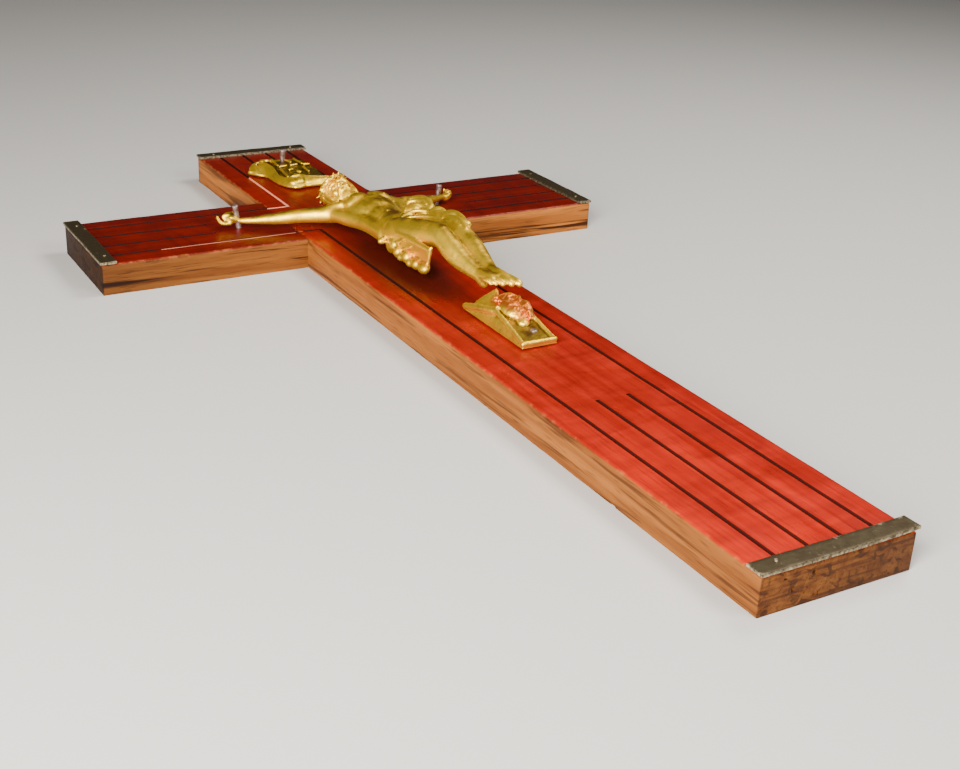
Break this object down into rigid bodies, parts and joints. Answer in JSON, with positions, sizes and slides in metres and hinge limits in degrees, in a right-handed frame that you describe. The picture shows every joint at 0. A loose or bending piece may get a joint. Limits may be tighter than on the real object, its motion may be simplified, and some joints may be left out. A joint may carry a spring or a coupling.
{
  "type": "wall crucifix",
  "caption": "Half-lapped wooden cross with grooved stained face, metal end strips, and a gilded cast figure, scroll and foot rest held by nails.",
  "frame": {"origin": "centre of the cross's overall length and width, on the flat back face", "axes": "+X along the arms to the viewer's right when facing the figure, +Y up the cross towards the title scroll, +Z out of the face; the cross lies on its back"},
  "size_m": [0.1608, 0.3008, 0.0248],
  "materials": {
    "stained_wood": "red stained and varnished hardwood face over bare brown sides, worn at the edges",
    "gilt_metal": "gilded cast metal with dark patina in the hollows and copper showing where worn",
    "tarnished_strip": "dull, tarnished, lightly scratched strip",
    "brad_metal": "dark filed pin heads",
    "nail_steel": "dull wire nail, browned with age"
  },
  "bodies": {
    "root": {"upright_board": "stained_wood", "crossbar_board": "stained_wood", "end_strip_foot": "tarnished_strip", "end_strip_top": "tarnished_strip", "end_strip_left": "tarnished_strip", "end_strip_right": "tarnished_strip", "strip_brad_foot_1": "brad_metal", "strip_brad_foot_2": "brad_metal", "strip_brad_top_1": "brad_metal", "strip_brad_top_2": "brad_metal", "strip_brad_left_1": "brad_metal", "strip_brad_left_2": "brad_metal", "strip_brad_right_1": "brad_metal", "strip_brad_right_2": "brad_metal", "corpus": "gilt_metal", "titulus_scroll": "gilt_metal", "foot_rest": "gilt_metal", "hand_nail_left": "nail_steel", "hand_nail_right": "nail_steel", "titulus_nail": "nail_steel", "foot_rest_nail": "nail_steel"}
  },
  "joints": []
}
